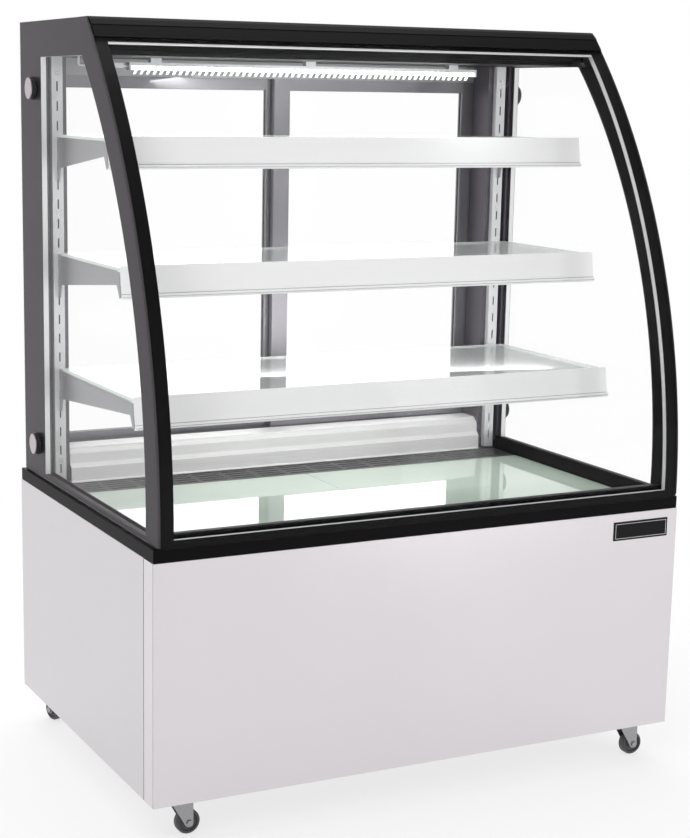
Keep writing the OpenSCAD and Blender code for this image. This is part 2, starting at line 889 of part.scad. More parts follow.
// The same, turned to the way the caster points
module at_turned_caster(i) {
    at_caster(i) rotate([0, 0, caster_turn[i]]) children();
}

// Mounting plates with their bolts, fixed races and kingpins
module caster_plates() {
    color("silver") for (i = [0 : 3]) at_caster(i) {
        translate([-30, -24, race_z + 5.8]) cube([60, 48, 3]);
        for (x = [-23, 23], y = [-17, 17])
            translate([x, y, race_z + 3]) cylinder(r = 5, h = 3, $fn = 6);
        translate([0, 0, race_z]) cylinder(r = 19, h = 6);
        translate([0, 0, race_z - 9]) cylinder(r = kingpin_r, h = 10);
        translate([0, 0, race_z - 10]) cylinder(r = 9, h = 3.5);
    }
}

// Swivelling fork with its axle bolt
module caster_fork(i) {
    top = race_z - 0.4;
    leg_top = top - 3;
    color("silver") at_turned_caster(i) {
        difference() {
            union() {
                translate([0, 0, top - 3]) cylinder(r = 21, h = 3);
                translate([0, -fork_gap - fork_t, top - 3])
                    cube([caster_trail, 2 * (fork_gap + fork_t), 3]);
                for (s = [-1, 1])
                    translate([0, s * (fork_gap + fork_t / 2) + fork_t / 2, 0])
                        rotate([90, 0, 0]) linear_extrude(fork_t) polygon([[-14, leg_top + 1],
                            [-12, leg_top - 8], [caster_trail - 9, wheel_r - 4],
                            [caster_trail - 5, wheel_r - 8], [caster_trail + 5, wheel_r - 8],
                            [caster_trail + 8, wheel_r - 2], [caster_trail + 8, leg_top + 1]]);
            }
            translate([0, 0, top - 4]) cylinder(r = kingpin_r + fit, h = 6);
        }
        translate([caster_trail, fork_gap + fork_t + 3, wheel_r]) rotate([90, 0, 0])
            cylinder(r = axle_r, h = 2 * (fork_gap + fork_t) + 6);
        for (s = [-1, 1])
            translate([caster_trail, s * (fork_gap + fork_t + 1.6) + 1.5, wheel_r])
                rotate([90, 0, 0]) cylinder(r = 6.5, h = 3, $fn = 6);
    }
}

// Grey wheel with a rounded tread, a recessed disc and a bored hub
module wheel(i) {
    w = wheel_w / 2;
    color("gray") at_turned_caster(i) translate([caster_trail, 0, wheel_r]) rotate([90, 0, 0])
        rotate_extrude($fn = 96) polygon([[axle_r + fit, -w - 1], [9, -w - 1], [10, -w + 3],
            [wheel_r - 8, -w + 3], [wheel_r - 6, -w], [wheel_r - 2, -w + 1], [wheel_r, -w + 4],
            [wheel_r, w - 4], [wheel_r - 2, w - 1], [wheel_r - 6, w], [wheel_r - 8, w - 3],
            [10, w - 3], [9, w + 1], [axle_r + fit, w + 1]]);
}

module caster_fork_front_left() {
    caster_fork(0);
}

module caster_fork_front_right() {
    caster_fork(1);
}

module caster_fork_rear_left() {
    caster_fork(2);
}

module caster_fork_rear_right() {
    caster_fork(3);
}

module wheel_front_left() {
    wheel(0);
}

module wheel_front_right() {
    wheel(1);
}

module wheel_rear_left() {
    wheel(2);
}

module wheel_rear_right() {
    wheel(3);
}

// ---- the parts -----------------------------------------------------------

base_pan();
front_panel();
side_panel_left();
side_panel_right();
rear_panel();
trim_frame();
nameplate();
insulated_tub();
evaporator();
evaporator_fan();
return_grille();
duct_panel();
deck_glass();
front_glass();
front_spacer();
side_glass_left();
side_glass_right();
side_spacers();
corner_profiles();
inner_sills();
standoffs();
roof_panel();
top_profile();
rear_header();
rear_sill();
rear_posts();
pilasters();
pilaster_screws();
shelf_brackets();
shelf_glass_lower();
shelf_glass_middle();
shelf_glass_upper();
shelf_rail_lower();
shelf_rail_middle();
shelf_rail_upper();
door_frame_left();
door_glass_left();
door_frame_right();
door_glass_right();
led_bar();
led_strip();
compressor();
copper_lines();
condenser();
condenser_fan();
control_box();
button_set();
button_up();
button_down();
light_switch();
cable_gland();
caster_plates();
caster_fork_front_left();
caster_fork_front_right();
caster_fork_rear_left();
caster_fork_rear_right();
wheel_front_left();
wheel_front_right();
wheel_rear_left();
wheel_rear_right();
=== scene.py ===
"""Looks for the glass display showcase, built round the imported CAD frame."""
import json
import math

import bmesh
import bpy
from mathutils import Matrix, Vector

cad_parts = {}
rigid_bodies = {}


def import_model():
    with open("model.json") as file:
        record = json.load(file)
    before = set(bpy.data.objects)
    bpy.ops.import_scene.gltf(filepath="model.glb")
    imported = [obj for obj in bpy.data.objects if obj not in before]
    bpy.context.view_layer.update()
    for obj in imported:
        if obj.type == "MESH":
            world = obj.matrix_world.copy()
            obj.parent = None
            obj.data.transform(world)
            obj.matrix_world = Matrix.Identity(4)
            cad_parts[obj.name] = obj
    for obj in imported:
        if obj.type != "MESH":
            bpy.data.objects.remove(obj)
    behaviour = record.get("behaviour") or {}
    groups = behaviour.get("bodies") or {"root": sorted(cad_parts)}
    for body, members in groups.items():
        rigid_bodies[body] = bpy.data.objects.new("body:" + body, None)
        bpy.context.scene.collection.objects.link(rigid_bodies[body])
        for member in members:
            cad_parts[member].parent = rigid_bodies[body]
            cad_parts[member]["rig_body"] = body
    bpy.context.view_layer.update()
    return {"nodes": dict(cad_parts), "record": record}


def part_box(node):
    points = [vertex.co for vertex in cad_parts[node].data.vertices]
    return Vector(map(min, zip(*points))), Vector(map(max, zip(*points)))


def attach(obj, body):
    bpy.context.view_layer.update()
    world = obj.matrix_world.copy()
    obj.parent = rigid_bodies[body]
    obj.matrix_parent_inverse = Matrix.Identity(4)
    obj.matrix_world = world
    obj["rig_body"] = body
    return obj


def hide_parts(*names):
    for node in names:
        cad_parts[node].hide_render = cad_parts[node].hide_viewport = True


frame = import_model()
nodes = frame["nodes"]
MM = 0.001

# ---- camera, floor and light ------------------------------------------------


def turned(forward, roll):
    """Rotation of a camera that looks along forward, rolled by an angle."""
    forward = Vector(forward).normalized()
    right = forward.cross(Vector((0, 0, 1))).normalized()
    up = right.cross(forward)
    r = math.cos(roll) * right + math.sin(roll) * up
    u = -math.sin(roll) * right + math.cos(roll) * up
    return Matrix((r, u, -forward)).transposed().to_4x4()


scene = bpy.context.scene
CAM_PLACE = (-1.76687, -3.34357, 1.42082)
YAW, PITCH, ROLL = math.radians(26.093), math.radians(-11.046), math.radians(0.848)
cam = bpy.data.objects.new("camera", bpy.data.cameras.new("camera"))
scene.collection.objects.link(cam)
look = (math.sin(YAW) * math.cos(PITCH), math.cos(YAW) * math.cos(PITCH), math.sin(PITCH))
cam.matrix_world = Matrix.Translation(CAM_PLACE) @ turned(look, ROLL)
cam.data.sensor_width = 36
cam.data.lens = 76.124
cam.data.shift_x = 0.0656
cam.data.shift_y = 0.0251
cam.data.clip_end = 200
scene.camera = cam
scene.view_settings.view_transform = "Standard"
scene.cycles.transparent_max_bounces = 40
scene.cycles.max_bounces = 12
scene.cycles.glossy_bounces = 6
scene.cycles.transmission_bounces = 8
scene.cycles.sample_clamp_indirect = 4.0


def area(name, place, aim, size, power, color=(1, 1, 1)):
    """A rectangular light at a place, aimed at a point."""
    light = bpy.data.lights.new(name, "AREA")
    light.shape = "RECTANGLE"
    light.size, light.size_y = size
    light.energy = power
    light.color = color
    lamp = bpy.data.objects.new(name, light)
    scene.collection.objects.link(lamp)
    way = (Vector(aim) - Vector(place)).to_track_quat("-Z", "Y")
    lamp.matrix_world = Matrix.Translation(place) @ way.to_matrix().to_4x4()
    lamp.visible_camera = False


area("key", (-3.2, -3.4, 3.6), (0, 0, 0.8), (2.4, 2.4), 74)
area("fill", (3.6, -2.6, 2.4), (0, 0, 0.8), (2.0, 3.0), 12)
area("top", (0, 0.4, 4.0), (0, 0, 0), (3.5, 2.5), 46)
area("streak", (1.75, -3.3, 0.95), (0.0, -0.4, 0.45), (0.35, 1.7), 12)
area("duct_light", (0.05, -0.05, 0.86), (0.12, 0.32, 0.66), (0.8, 0.1), 1.5)
area("lamp_light", (0, 0.16, 1.45), (0.12, 0.30, 0.6), (0.84, 0.05), 0.7, (0.96, 1, 0.97))
area("back", (1.2, 3.8, 2.4), (0, 0, 1.0), (3.0, 2.4), 42)


class Tree:
    """Short way to add and join shader nodes."""

    def __init__(self, tree, clear=True):
        self.tree = tree
        if clear:
            tree.nodes.clear()

    def add(self, kind, inputs=None, **settings):
        node = self.tree.nodes.new("ShaderNode" + kind)
        for key, value in settings.items():
            setattr(node, key, value)
        for key, value in (inputs or {}).items():
            socket = node.inputs[key]
            if isinstance(value, bpy.types.NodeSocket):
                self.tree.links.new(value, socket)
            else:
                socket.default_value = value
        return node

    def math(self, op, a, b=0.0, c=0.0):
        return self.add("Math", {0: a, 1: b, 2: c}, operation=op).outputs[0]


def studio_sky():
    """Grey-to-white sky that lights the object. The camera itself sees plain white."""
    world = bpy.data.worlds.new("studio")
    scene.world = world
    world.use_nodes = True
    t = Tree(world.node_tree)
    split = t.add("SeparateXYZ", {0: t.add("TexCoord").outputs["Generated"]})
    ramp = t.add("ValToRGB", {0: t.math("MULTIPLY_ADD", split.outputs["Y"], 0.5, 0.5)})
    dark, light = ramp.color_ramp.elements
    dark.color, dark.position = (0.36, 0.355, 0.37, 1), 0.15
    light.color, light.position = (1.0, 1.0, 1.0, 1), 0.75
    seen = t.add("LightPath").outputs["Is Camera Ray"]
    lit = t.add("Background", {"Color": ramp.outputs[0], "Strength": 0.95})
    white = t.add("Background", {"Color": (1, 1, 1, 1), "Strength": 1.0})
    mix = t.add("MixShader", {0: seen, 1: lit.outputs[0], 2: white.outputs[0]})
    t.add("OutputWorld", {"Surface": mix.outputs[0]})


studio_sky()

# ---- materials -----------------------------------------------------------


def rgba(color):
    """The same colour with full alpha."""
    return (color[0], color[1], color[2], 1.0)


def finish(name, color, rough=0.5, metal=0.0, vary=0.06, grain=(1, 1, 1), scale=60.0,
           rough_vary=0.08, bump=0.02, depth=0.0002, **sockets):
    """A finished surface: colour, roughness and relief that vary with a stretched noise."""
    mat = bpy.data.materials.new(name)
    mat.use_nodes = True
    t = Tree(mat.node_tree)
    place = t.add("TexCoord").outputs["Object"]
    fine = t.add("Mapping", {"Vector": place, "Scale": grain}).outputs[0]
    noise = t.add("TexNoise", {"Vector": fine, "Scale": scale, "Detail": 5.0, "Roughness": 0.6})
    broad = t.add("TexNoise", {"Vector": place, "Scale": 3.0, "Detail": 2.0})
    both = t.math("ADD", t.math("MULTIPLY", noise.outputs[0], 0.6),
                  t.math("MULTIPLY", broad.outputs[0], 0.4))
    ramp = t.add("ValToRGB", {0: both})
    ramp.color_ramp.elements[0].position = 0.3
    ramp.color_ramp.elements[1].position = 0.7
    ramp.color_ramp.elements[0].color = rgba([c * (1 - vary) for c in color])
    ramp.color_ramp.elements[1].color = rgba([min(c * (1 + vary), 1) for c in color])
    rough_out = t.add("MapRange", {0: both, 3: max(rough - rough_vary, 0.02),
                                   4: min(rough + rough_vary, 1.0)}, clamp=True).outputs[0]
    relief = t.add("Bump", {"Strength": bump, "Distance": depth, "Height": noise.outputs[0]})
    shader = t.add("BsdfPrincipled", {"Base Color": ramp.outputs[0], "Roughness": rough_out,
                                      "Metallic": metal, "Normal": relief.outputs[0], **sockets})
    t.add("OutputMaterial", {"Surface": shader.outputs[0]})
    return mat


def clear_glass(name, tint, ior, edge=None, edge_axis=None, haze=0.0):
    """Thin pane: reflects once at its near face and lets the rest through, with tinted edges."""
    mat = bpy.data.materials.new(name)
    mat.use_nodes = True
    t = Tree(mat.node_tree)
    place = t.add("TexCoord").outputs["Object"]
    noise = t.add("TexNoise", {"Vector": place, "Scale": 7.0, "Detail": 3.0})
    geometry = t.add("NewGeometry")
    front = t.math("SUBTRACT", 1.0, geometry.outputs["Backfacing"])
    fresnel = t.math("MULTIPLY", t.add("Fresnel", {"IOR": ior}).outputs[0], front)
    rough = t.add("MapRange", {0: noise.outputs[0], 3: 0.0, 4: 0.015}).outputs[0]
    through = t.add("BsdfTransparent", {"Color": rgba(tint)})
    mirror = t.add("BsdfGlossy", {"Roughness": rough})
    pane = t.add("MixShader", {0: fresnel, 1: through.outputs[0], 2: mirror.outputs[0]}).outputs[0]
    if haze:
        milk = t.add("BsdfDiffuse", {"Color": (0.9, 0.92, 0.91, 1)}).outputs[0]
        pane = t.add("MixShader", {0: t.math("MULTIPLY", front, haze), 1: pane,
                                   2: milk}).outputs[0]
    if edge:
        along = t.add("SeparateXYZ", {0: geometry.outputs["Normal"]}).outputs[edge_axis]
        flank = t.math("LESS_THAN", t.math("ABSOLUTE", along), 0.5)
        rim = t.add("BsdfPrincipled", {"Base Color": rgba(edge), "Roughness": 0.12}).outputs[0]
        pane = t.add("MixShader", {0: flank, 1: pane, 2: rim}).outputs[0]
    t.add("OutputMaterial", {"Surface": pane})
    return mat


def glow(name, color, strength):
    """A glowing surface whose power varies a little from place to place."""
    vary = 0.1
    mat = bpy.data.materials.new(name)
    mat.use_nodes = True
    t = Tree(mat.node_tree)
    place = t.add("TexCoord").outputs["Object"]
    noise = t.add("TexNoise", {"Vector": place, "Scale": 200.0})
    power = t.add("MapRange", {0: noise.outputs[0], 3: strength * (1 - vary),
                               4: strength * (1 + vary)}).outputs[0]
    shader = t.add("BsdfPrincipled", {"Base Color": rgba(color), "Emission Color": rgba(color),
                                      "Emission Strength": power, "Roughness": 0.3})
    t.add("OutputMaterial", {"Surface": shader.outputs[0]})
    return mat


def perforated(name, color, pitch):
    """Aluminium spacer bar with rows of tiny pressed holes, each painted darker as painted shade
    inside it.
    """
    mat = bpy.data.materials.new(name)
    mat.use_nodes = True
    t = Tree(mat.node_tree)
    place = t.add("TexCoord").outputs["Object"]
    voronoi = t.add("TexVoronoi", {"Vector": place, "Scale": 1 / pitch, "Randomness": 0.0},
                    feature="F1")
    # Each hole is painted at a third of the bar's colour: painted shade inside the hole
    hole_shade = t.math("LESS_THAN", voronoi.outputs["Distance"], 0.33)
    mix = t.add("MixRGB", {0: hole_shade, 1: rgba(color), 2: rgba([c * 0.35 for c in color])})
    relief = t.add("Bump", {"Strength": 0.4, "Distance": 0.0004,
                            "Height": voronoi.outputs["Distance"]})
    shader = t.add("BsdfPrincipled", {"Base Color": mix.outputs[0], "Roughness": 0.4,
                                      "Metallic": 0.3, "Normal": relief.outputs[0]})
    t.add("OutputMaterial", {"Surface": shader.outputs[0]})
    return mat


BRUSH_X = (0.02, 1, 1)
BRUSH_Z = (1, 1, 0.02)
BRUSH_H = (0.02, 0.02, 1)
MATS = {
    "stainless_front": finish("stainless_front", (0.70, 0.67, 0.69), 0.25, 0.92, 0.03, BRUSH_H,
                              900, 0.05, 0.05),
    "stainless": finish("stainless", (0.66, 0.635, 0.655), 0.34, 0.95, 0.04, BRUSH_H, 900, 0.06,
                        0.08),
    "black_trim": finish("black_trim", (0.005, 0.0045, 0.005), 0.40, 0.0, 0.12, (1, 1, 1), 900,
                         0.05, 0.06, **{"Specular IOR Level": 0.05}),
    "side_paint": finish("side_paint", (0.045, 0.038, 0.046), 0.6, 0.0, 0.05, (1, 1, 1), 40,
                         0.03, 0.0, **{"Specular IOR Level": 0.1}),
    "front_paint": finish("front_paint", (0.003, 0.0027, 0.003), 0.5, 0.0, 0.1, (1, 1, 1), 300,
                          **{"Specular IOR Level": 0.1}),
    "nameplate": finish("nameplate", (0.004, 0.004, 0.004), 0.3, 0.0, 0.1, (1, 1, 1), 500,
                        **{"Specular IOR Level": 0.15}),
    "tub_liner": finish("tub_liner", (0.7, 0.71, 0.72), 0.4, 0.0, 0.04),
    "fin_aluminium": finish("fin_aluminium", (0.75, 0.76, 0.77), 0.35, 1.0, 0.08, BRUSH_Z, 400),
    "fan_plastic": finish("fan_plastic", (0.03, 0.03, 0.032), 0.5, 0.0, 0.1),
    "grille_black": finish("grille_black", (0.045, 0.043, 0.047), 0.38, 0.2, 0.1),
    "deck_mirror": finish("deck_mirror", (0.60, 0.70, 0.61), 0.03, 0.0, 0.02, (1, 1, 1), 5,
                          0.01, 0.0, IOR=1.75),
    "spacer": perforated("spacer", (0.82, 0.82, 0.82), 0.003),
    "standoff": finish("standoff", (0.025, 0.025, 0.027), 0.3, 0.4, 0.1),
    "roof": finish("roof", (0.008, 0.007, 0.008), 0.45, 0.0, 0.08, (1, 1, 1), 200,
                   **{"Specular IOR Level": 0.12}),
    "rear_header": finish("rear_header", (0.40, 0.39, 0.41), 0.42, 0.5, 0.08, BRUSH_X, 700, 0.06,
                          0.08),
    "rear_frame": finish("rear_frame", (0.12, 0.11, 0.13), 0.42, 0.6, 0.08, BRUSH_Z, 700, 0.06,
                         0.08),
    "pilaster": finish("pilaster", (0.74, 0.74, 0.75), 0.35, 0.3, 0.04, BRUSH_Z, 500),
    "screw": finish("screw", (0.75, 0.75, 0.76), 0.22, 1.0, 0.05),
    "bracket": finish("bracket", (0.36, 0.36, 0.38), 0.40, 0.8, 0.06, BRUSH_X, 500),
    "shelf_rail": finish("shelf_rail", (0.90, 0.90, 0.90), 0.60, 0.0, 0.015, BRUSH_X, 300),
    "door_frame": finish("door_frame", (0.25, 0.24, 0.26), 0.38, 0.6, 0.09, BRUSH_Z, 700, 0.06,
                         0.08),
    "lamp_body": finish("lamp_body", (0.70, 0.71, 0.72), 0.35, 0.8, 0.05, BRUSH_X, 500),
    "lamp_diffuser": glow("lamp_diffuser", (0.93, 1.0, 0.95), 2.6),
    "compressor": finish("compressor", (0.015, 0.015, 0.016), 0.25, 0.0, 0.15),
    "copper": finish("copper", (0.72, 0.36, 0.22), 0.25, 1.0, 0.15, BRUSH_X, 300),
    "condenser": finish("condenser", (0.16, 0.165, 0.17), 0.45, 0.4, 0.15, BRUSH_Z, 300),
    "control": finish("control", (0.03, 0.03, 0.032), 0.45, 0.0, 0.1),
    "button": finish("button", (0.62, 0.62, 0.63), 0.45, 0.0, 0.05),
    "rocker": finish("rocker", (0.10, 0.42, 0.16), 0.25, 0.0, 0.08),
    "caster_zinc": finish("caster_zinc", (0.34, 0.34, 0.35), 0.30, 0.9, 0.10, (1, 1, 1), 250,
                          0.1, 0.06),
    "wheel": finish("wheel", (0.055, 0.055, 0.058), 0.5, 0.0, 0.10, (1, 1, 1), 300, 0.08, 0.06),
    "gasket": finish("gasket", (0.80, 0.80, 0.79), 0.6, 0.0, 0.05, (1, 1, 1), 400),
    "rubber": finish("rubber", (0.02, 0.02, 0.021), 0.7, 0.0, 0.15, (1, 1, 1), 400),
    "knob_face": finish("knob_face", (0.50, 0.44, 0.47), 0.30, 0.9, 0.04, (1, 1, 1), 30, 0.03, 0.0),
    "led": glow("led", (0.93, 1.0, 0.95), 14.0),
    # Glow of the slanted strips under the lamp: painted light streaks
    "painted_led_rays": glow("painted_led_rays", (0.90, 0.98, 0.90), 1.1),
    "display": finish("display", (0.010, 0.010, 0.012), 0.12, 0.0, 0.1, (1, 1, 1), 200),
    "digit": glow("digit", (1.0, 0.12, 0.05), 2.5),
    "glass": clear_glass("glass", (0.9995, 0.9998, 0.9996), 1.12),
    "door_glass": clear_glass("door_glass", (0.9995, 0.9998, 0.9996), 1.12),
    "shelf_glass": clear_glass("shelf_glass", (0.985, 0.99, 0.986), 1.42, (0.70, 0.77, 0.73),
                               2, 0.30),
    "duct": finish("duct", (0.86, 0.845, 0.85), 0.55, 0.1, 0.07, BRUSH_X, 260, 0.06, 0.05),
    # Near-black finish of the joint strips: painted shade in the narrow gaps
    "painted_seam_shade": finish("painted_seam_shade", (0.02, 0.018, 0.019), 0.7, 0.0, 0.1, (1, 1, 1), 300),
    # Grey finish of the rail's lip lines: painted shade at the lip
    "painted_lip_shade": finish("painted_lip_shade", (0.42, 0.42, 0.42), 0.5, 0.0, 0.04, (1, 1, 1), 300),
}
SLOT_OF = {part["node"]: part["material_slot"] for part in frame["record"]["subparts"]}
LOOK_OF = {"door_glass_left": "door_glass", "door_glass_right": "door_glass",
           "rear_header": "rear_header", "duct_panel": "duct"}
BODY_OF = {n: obj["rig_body"] for n, obj in nodes.items()}


def paint(obj, look):
    """Gives an object one of the finishes."""
    obj.data.materials.clear()
    obj.data.materials.append(MATS[look])


for name, obj in nodes.items():
    paint(obj, LOOK_OF.get(name, SLOT_OF[name]))

# ---- pieces --------------------------------------------------------------

# Edges above this angle are rounded, and a shell stays crisp above its own, in degrees
SHARP_ANGLE = 35
SHELL_SMOOTH = 46
SIDES = ((-1, "left"), (1, "right"))


def add_piece(name, bm, look, body, smooth=30):
    """Turns a bmesh into a piece that rides a body. Edges sharper than smooth stay crisp."""
    bmesh.ops.recalc_face_normals(bm, faces=bm.faces)
    for edge in bm.edges:
        edge.smooth = len(edge.link_faces) == 2 and edge.calc_face_angle(0) < math.radians(smooth)
    for face in bm.faces:
        face.smooth = True
    mesh = bpy.data.meshes.new(name)
    bm.to_mesh(mesh)
    bm.free()
    obj = bpy.data.objects.new(name, mesh)
    scene.collection.objects.link(obj)
    paint(obj, look)
    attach(obj, body)
    return obj


def soften(node, width, segments=2):
    """Replaces a CAD node by the same shape with rounded edges."""
    slot = SLOT_OF[node]
    bm = bmesh.new()
    bm.from_mesh(nodes[node].data)
    bmesh.ops.remove_doubles(bm, verts=bm.verts, dist=1e-6)
    bmesh.ops.dissolve_limit(bm, angle_limit=math.radians(0.6), verts=bm.verts, edges=bm.edges)
    sharp = [e for e in bm.edges
             if len(e.link_faces) == 2 and e.calc_face_angle(0) > math.radians(SHARP_ANGLE)]
    bmesh.ops.bevel(bm, geom=sharp, offset=width, segments=segments, profile=0.5,
                    affect="EDGES", clamp_overlap=True)
    obj = add_piece(node + "_shell", bm, LOOK_OF.get(node, slot), BODY_OF[node],
                    SHELL_SMOOTH)
    obj.modifiers.new("weights", "WEIGHTED_NORMAL").keep_sharp = True
    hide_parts(node)
    return obj


def block(bm, lo, hi, bevel=0.0, segments=2):
    """Adds a box with rounded edges to a bmesh."""
    lo, hi = Vector(lo), Vector(hi)
    made = bmesh.ops.create_cube(bm, size=1.0)["verts"]
    for v in made:
        v.co = Vector((lo[i] + (v.co[i] + 0.5) * (hi[i] - lo[i]) for i in range(3)))
    if bevel:
        edges = {e for v in made for e in v.link_edges}
        bmesh.ops.bevel(bm, geom=list(edges), offset=bevel, segments=segments, profile=0.5,
                        affect="EDGES", clamp_overlap=True)


def floor_paint():
    """Pale floor that brightens into the white backdrop away from the object."""
    mat = finish("floor_paint", (0.93, 0.93, 0.93), 0.85, 0.0, 0.01)
    t = Tree(mat.node_tree, clear=False)
    place = t.add("TexCoord").outputs["Object"]
    far = t.add("VectorMath", {0: place}, operation="LENGTH").outputs["Value"]
    share = t.add("MapRange", {0: far, 1: 0.9, 2: 2.6, 3: 0.68, 4: 1.0}, clamp=True,
                  interpolation_type="SMOOTHSTEP").outputs[0]
    bright = t.add("Emission", {"Color": (1, 1, 1, 1), "Strength": 1.0}).outputs[0]
    end = next(n for n in mat.node_tree.nodes if n.type == "OUTPUT_MATERIAL")
    lit = end.inputs["Surface"].links[0].from_socket
    mix = t.add("MixShader", {0: share, 1: lit, 2: bright}).outputs[0]
    mat.node_tree.links.new(mix, end.inputs["Surface"])
    return mat


def floor():
    """A wide flat floor, which is not part of the object."""
    bm = bmesh.new()
    bmesh.ops.create_grid(bm, x_segments=8, y_segments=8, size=40)
    mesh = bpy.data.meshes.new("floor")
    bm.to_mesh(mesh)
    bm.free()
    obj = bpy.data.objects.new("floor", mesh)
    scene.collection.objects.link(obj)
    obj.data.materials.append(floor_paint())


floor()

# Arc of the front glass and of the clear area, as in the CAD, in metres
body_lo, body_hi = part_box("front_panel")
glass_lo, glass_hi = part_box("front_glass")
side_lo, side_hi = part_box("side_glass_right")
ARC_R = 1.400
ARC_Y = side_lo.y + ARC_R
ARC_Z = glass_lo.z + 0.0115
CLEAR = {"rear": side_hi.y - 0.139, "top": side_hi.z - 0.075, "low": glass_lo.z + 0.0105,
         "y": ARC_Y - 0.069, "z": ARC_Z + 0.029, "r": ARC_R - 0.145}
CORNER_R = 0.008
# Point in the YZ plane that both outlines of a border surround
RING_CENTRE = (0.06, 1.0)
# Width of the dark band on the front glass
BORDER = 0.026


def arc_points(cy, cz, r, z0, z1, steps=40):
    """Points of an arc that bulges to -Y, from height z0 to z1."""
    points = []
    for i in range(steps + 1):
        z = z0 + (z1 - z0) * i / steps
        points.append((cy - math.sqrt(r * r - (z - cz) ** 2), z))
    return points


def side_outline(inset):
    """Outline of a side glass, with a small round corner at the foot of its arc."""
    r = ARC_R - inset
    low, top = side_lo.z + inset, side_hi.z - inset
    points = arc_points(ARC_Y, ARC_Z, r, low + CORNER_R, top)
    foot = points[0][0]
    corner = [(foot + CORNER_R - CORNER_R * math.cos(a), low + CORNER_R - CORNER_R * math.sin(a))
              for a in (math.pi / 2 * k / 5 for k in range(5, 0, -1))]
    return corner + points + [(side_hi.y - inset, top), (side_hi.y - inset, low)]


def clear_outline(grow=0.0):
    """Outline of the clear area inside the dark border."""
    low, top, rear = CLEAR["low"] - grow, CLEAR["top"] + grow, CLEAR["rear"] + grow
    points = arc_points(CLEAR["y"], CLEAR["z"], CLEAR["r"] + grow, low, top)
    return points + [(rear, top), (rear, low)]


def ray_hit(outline, centre, angle):
    """Where a ray from centre leaves a closed outline."""
    dy, dz = math.cos(angle), math.sin(angle)
    best = None
    for (y0, z0), (y1, z1) in zip(outline, outline[1:] + outline[:1]):
        ey, ez = y1 - y0, z1 - z0
        det = dy * -ez + dz * ey
        if abs(det) < 1e-12:
            continue
        oy, oz = y0 - centre[0], z0 - centre[1]
        along = (oy * -ez + oz * ey) / det
        share = (dy * oz - dz * oy) / det
        if along > 0 and -1e-9 <= share <= 1 + 1e-9 and (best is None or along > best):
            best = along
    return (centre[0] + dy * best, centre[1] + dz * best)


def ring(bm, outer, inner, x0, x1):
    """Flat frame between two outlines in the YZ plane, from x0 to x1."""
    angles = sorted({round(math.atan2(z - RING_CENTRE[1], y - RING_CENTRE[0]), 7)
                     for y, z in outer + inner})
    loops = []
    for outline, x in ((outer, x0), (outer, x1), (inner, x1), (inner, x0)):
        loops.append([bm.verts.new((x, *ray_hit(outline, RING_CENTRE, a))) for a in angles])
    count = len(angles)
    for k in range(4):
        a, b = loops[k], loops[(k + 1) % 4]
        for i in range(count):
            j = (i + 1) % count
            bm.faces.new((a[i], a[j], b[j], b[i]))


def arc_plate(bm, x0, x1, z0, z1, r0, r1, steps=40):
    """Curved plate that follows the front glass."""
    inner = arc_points(ARC_Y, ARC_Z, r0, z0, z1, steps)
    outer = arc_points(ARC_Y, ARC_Z, r1, z0, z1, steps)
    rows = []
    for (yi, zi), (yo, zo) in zip(inner, outer):
        rows.append([bm.verts.new(p) for p in
                     ((x0, yo, zo), (x1, yo, zo), (x1, yi, zi), (x0, yi, zi))])
    for a, b in zip(rows, rows[1:]):
        for i in range(4):
            j = (i + 1) % 4
            bm.faces.new((a[i], a[j], b[j], b[i]))
    bm.faces.new(rows[0][::-1])
    bm.faces.new(rows[-1])


def side_borders(side, name):
    """Dark printed border behind the outer pane and a narrow ring on the inner pane."""
    bm = bmesh.new()
    x = side_hi.x - 0.00515
    ring(bm, side_outline(0.0015), clear_outline(), side * (x - 0.0003), side * x)
    add_piece("side_border_" + name, bm, "side_paint", "cabinet")
    bm = bmesh.new()
    x = side_hi.x - 0.01698
    ring(bm, clear_outline(0.0105), clear_outline(), side * x, side * (x + 0.00006))
    add_piece("inner_border_" + name, bm, "side_paint", "cabinet")


def front_border():
    """Dark printed band round the curved front glass, behind its outer pane."""
    bm = bmesh.new()
    outer_r = ARC_R - 0.0051
    inner_r = outer_r - 0.0004
    half = glass_hi.x - 0.0002
    edge = half - BORDER
    low, high = glass_lo.z + 0.0005, glass_hi.z - 0.0005
    for side in (-1, 1):
        x0, x1 = sorted((side * half, side * edge))
        arc_plate(bm, x0, x1, low, high, inner_r, outer_r)
    arc_plate(bm, -edge, edge, low, low + 0.016, inner_r, outer_r, 4)
    arc_plate(bm, -edge, edge, high - 0.009, high, inner_r, outer_r, 4)
    add_piece("front_border", bm, "front_paint", "cabinet")


# Width of the rounded edges of each shell
SOFT_EDGES = {
    "front_panel": 0.0004, "side_panel_left": 0.0012, "side_panel_right": 0.0012,
    "trim_frame": 0.0012, "nameplate": 0.0004, "roof_panel": 0.0015, "inner_sills": 0.0008,
    "rear_posts": 0.0008, "rear_header": 0.0006, "rear_sill": 0.0006,
    "door_frame_left": 0.0010, "door_frame_right": 0.0010, "shelf_rail_lower": 0.0005,
    "shelf_rail_middle": 0.0005, "shelf_rail_upper": 0.0005, "pilasters": 0.0004,
    "duct_panel": 0.0008,
}

for side, name in SIDES:
    side_borders(side, name)
front_border()
for node, width in SOFT_EDGES.items():
    soften(node, width)

# ---- round and small parts -------------------------------------------------


